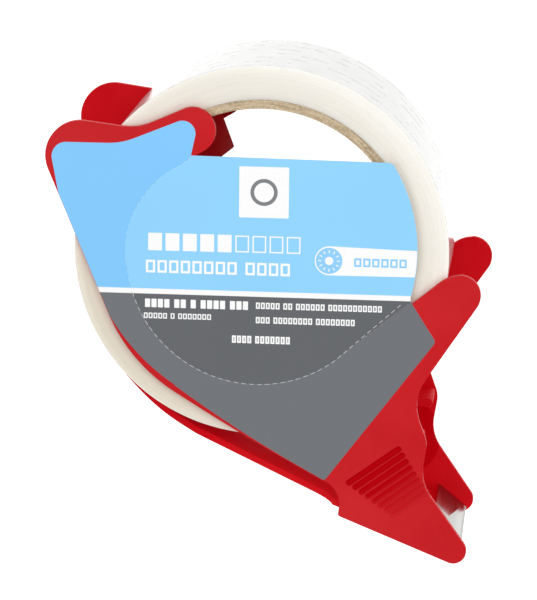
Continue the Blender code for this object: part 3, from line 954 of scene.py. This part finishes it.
def ink_shapes(name, shapes, material, level=1):
    """Thin printed shapes on the label, joined into one piece."""
    bottom = NEAR_OUTER + LABEL_LIFT + LABEL_FILM + (level - 1) * INK
    bm = bmesh.new()
    for points in shapes:
        part = prism(points, bottom, bottom + INK)
        mesh = bpy.data.meshes.new("part")
        part.to_mesh(mesh)
        part.free()
        bm.from_mesh(mesh)
        bpy.data.meshes.remove(mesh)
    return place(make_object(name, bm), DISPENSER, "label_print", material)


def block_row(left, bottom, right, height, words, stroke):
    """Equal blocks in groups, for a line of print; with a stroke they are hollow frames."""
    pitch = (right - left) / (sum(words) + WORD_GAP * (len(words) - 1) - BLOCK_GAP)
    width = pitch * (1.0 - BLOCK_GAP)
    shapes = []
    for count in words:
        for _ in range(count):
            shapes += block(left, bottom, left + width, bottom + height, stroke)
            left += pitch
        left += pitch * WORD_GAP
    return shapes


def print_lines(lines):
    """The blocks of several lines of print."""
    return [shape for line in lines for shape in block_row(*line)]


def block(left, bottom, right, top, stroke):
    """One solid block, or the four sides of a hollow frame."""
    if stroke is None:
        return [rounded_box(left, bottom, right, top, 0.15)]
    return [
        rounded_box(left, bottom, left + stroke, top, 0.02),
        rounded_box(right - stroke, bottom, right, top, 0.02),
        rounded_box(left + stroke, bottom, right - stroke, bottom + stroke, 0.02),
        rounded_box(left + stroke, top - stroke, right - stroke, top, 0.02),
    ]


def pill_points(left, bottom, top):
    """A band with a round left end that runs off the panel's front edge."""
    radius = (top - bottom) / 2.0
    points = []
    for i in range(25):
        turn = polar(radius, 90.0 + 7.5 * i)
        points.append(label_point(left + radius + turn.x, bottom + radius + turn.y))
    up = label_point(0.0, 1.0)
    for spot in outline_points(PANEL_FRONT_EDGE):
        if bottom < spot.dot(up) / MM ** 2 < top:
            points.append(spot - Vector((0.1 * MM, 0.0)))
    return points


def disc_points(centre, radius, steps=48):
    """A round spot on the label."""
    return [label_point(*centre) + polar(radius * MM, 360.0 * i / steps) for i in range(steps)]


def perforation_dashes():
    """Short slits along the tear line, as thin four-cornered strips."""
    line = [in_mm(PANEL_FRONT_LOW) - Vector((2.6, 0.9)) * MM] + outline_points(PERFORATION)
    dashes = []
    travelled, start = 0.0, None
    for a, b in zip(line, line[1:]):
        steps = max(1, int((b - a).length / (0.1 * MM)))
        for i in range(steps):
            spot = a.lerp(b, i / steps)
            phase = travelled % (DASH + DASH_GAP)
            travelled += (b - a).length / steps
            if phase < DASH and start is None:
                start = spot
            elif phase >= DASH and start is not None:
                along = (spot - start).normalized()
                side = Vector((-along.y, along.x)) * DASH_HALF_WIDTH
                dashes.append([start - side, spot - side, spot + side, start + side])
                start = None
    return dashes


def badge_ticks():
    """Short spokes inside the badge."""
    centre = Vector(BADGE_CENTRE)
    shapes = []
    for i in range(TICK_COUNT):
        outward = polar(1.0, 360.0 / TICK_COUNT * i)
        across = Vector((-outward.y, outward.x)) * TICK_HALF_WIDTH
        start, end = centre + outward * TICK_START, centre + outward * TICK_END
        spots = [start - across, end - across, end + across, start + across]
        shapes.append([label_point(p.x, p.y) for p in spots])
    return shapes


def label_print(white, blue, grey):
    """The plain marks on the label: a ring in a square, a badge in a pill, and lines of blocks."""
    ink_shapes("print_square", [rounded_box(*SQUARE, 0.3)], white)
    ink_shapes("print_ring", [disc_points(RING_CENTRE, RING_OUTER)], grey, 2)
    ink_shapes("print_ring_hole", [disc_points(RING_CENTRE, RING_INNER)], white, 3)
    ink_shapes("print_heading", print_lines(BOLD_HEADING), white)
    ink_shapes("print_heading_thin", print_lines(THIN_HEADING), white)
    ink_shapes("print_pill", [pill_points(PILL_LEFT, PILL_BOTTOM, PILL_TOP)], white)
    ink_shapes("print_badge", [disc_points(BADGE_CENTRE, BADGE_R)], blue, 2)
    ink_shapes("print_badge_marks", [disc_points(BADGE_CENTRE, BADGE_DOT_R)] + badge_ticks(), white, 3)
    ink_shapes("print_pill_blocks", print_lines(PILL_PRINT), blue, 2)
    ink_shapes("print_small", print_lines(SMALL_PRINT), white)


def tear_slits(lower_ink, upper_ink):
    """The perforation's slits, below and above the white stripe."""
    margin = 0.5
    dashes = perforation_dashes()
    lower = [d for d in dashes if d[0].y < (STRIPE_BOTTOM - margin) * MM]
    upper = [d for d in dashes if d[0].y > (STRIPE_TOP + margin) * MM]
    ink_shapes("tear_slits_lower", lower, lower_ink)
    ink_shapes("tear_slits_upper", upper, upper_ink)


# ---------------------------------------------------------------- stage

def floor():
    """A pale floor that glows a little, like a light table, so that no shadow greys it."""
    bm = bmesh.new()
    bmesh.ops.create_grid(bm, x_segments=1, y_segments=1, size=FLOOR_SIZE)
    item = make_object("floor", bm)
    item.location = (0.0, 0.0, FAR_OUTER - FLOOR_DROP)
    shader = Shader("pale_floor", roughness=0.7)
    haze = shader.noise(shader.place, 3.0, 2.0)
    shader.colour(shader.ramp(haze, [(0.3, (0.38, 0.38, 0.38)), (0.7, (0.42, 0.42, 0.42))]))
    shader.set("Specular IOR Level", 0.2)
    shader.set("Emission Color", (1.0, 1.0, 1.0, 1.0))
    shader.set("Emission Strength", 1.0)
    item.data.materials.append(shader.material)


def area_light(name, location, size, power):
    """A round soft box that faces the middle of the scene."""
    light = bpy.data.lights.new(name, "AREA")
    light.shape = "DISK"
    light.size = size
    light.energy = power
    item = bpy.data.objects.new(name, light)
    item.location = location
    item.rotation_mode = "QUATERNION"
    item.rotation_quaternion = (-Vector(location)).to_track_quat("-Z", "Y")
    bpy.context.collection.objects.link(item)


def lights():
    """Broad soft boxes high up all round, the strongest over the top of the roll."""
    for light in LIGHTS:
        area_light(*light)
    world = bpy.data.worlds.new("studio")
    world.use_nodes = True
    background = world.node_tree.nodes["Background"]
    background.inputs["Color"].default_value = (1.0, 1.0, 1.0, 1.0)
    background.inputs["Strength"].default_value = SKY_STRENGTH
    bpy.context.scene.world = world
    bpy.context.scene.view_settings.view_transform = "Standard"


def camera():
    """A long lens over the near face, held so that the object's Y axis points up in the picture."""
    data = bpy.data.cameras.new("camera")
    data.lens = LENS
    item = bpy.data.objects.new("camera", data)
    turn = polar(math.cos(math.radians(VIEW_ELEVATION)), VIEW_AZIMUTH)
    back = Vector((turn.x, turn.y, math.sin(math.radians(VIEW_ELEVATION))))
    target = Vector((AXIS.x + VIEW_TARGET.x, AXIS.y + VIEW_TARGET.y, ROLL_TOP))
    right = Vector((0.0, 1.0, 0.0)).cross(back).normalized()
    up = back.cross(right)
    item.matrix_world = Matrix((
        (right.x, up.x, back.x, target.x + back.x * VIEW_DISTANCE),
        (right.y, up.y, back.y, target.y + back.y * VIEW_DISTANCE),
        (right.z, up.z, back.z, target.z + back.z * VIEW_DISTANCE),
        (0.0, 0.0, 0.0, 1.0),
    ))
    bpy.context.collection.objects.link(item)
    bpy.context.scene.camera = item


def main():
    camera()
    red = red_plastic()
    side_plate("near_shell", "near_side_plate", NEAR_INNER, -1, near_plate_points, red)
    side_plate("far_shell", "far_side_plate", FAR_OUTER, 1, far_plate_points, red)
    belly_and_nose(red)
    cutter_blade(blade_steel())
    paper_core(core_board())
    tape_winding(clear_tape())
    label_border(label_film("label_on_plate", BORDER_BLUE, BORDER_GREY, BORDER_WHITE))
    tear_panel(label_film("label_over_core", PANEL_BLUE, PANEL_GREY, PANEL_WHITE))
    label_print(ink("ink_white", INK_WHITE), ink("ink_blue", INK_BLUE), ink("ink_grey", INK_GREY))
    tear_slits(ink("slit_grey", SLIT_GREY), ink("slit_blue", SLIT_BLUE))
    floor()
    lights()


main()
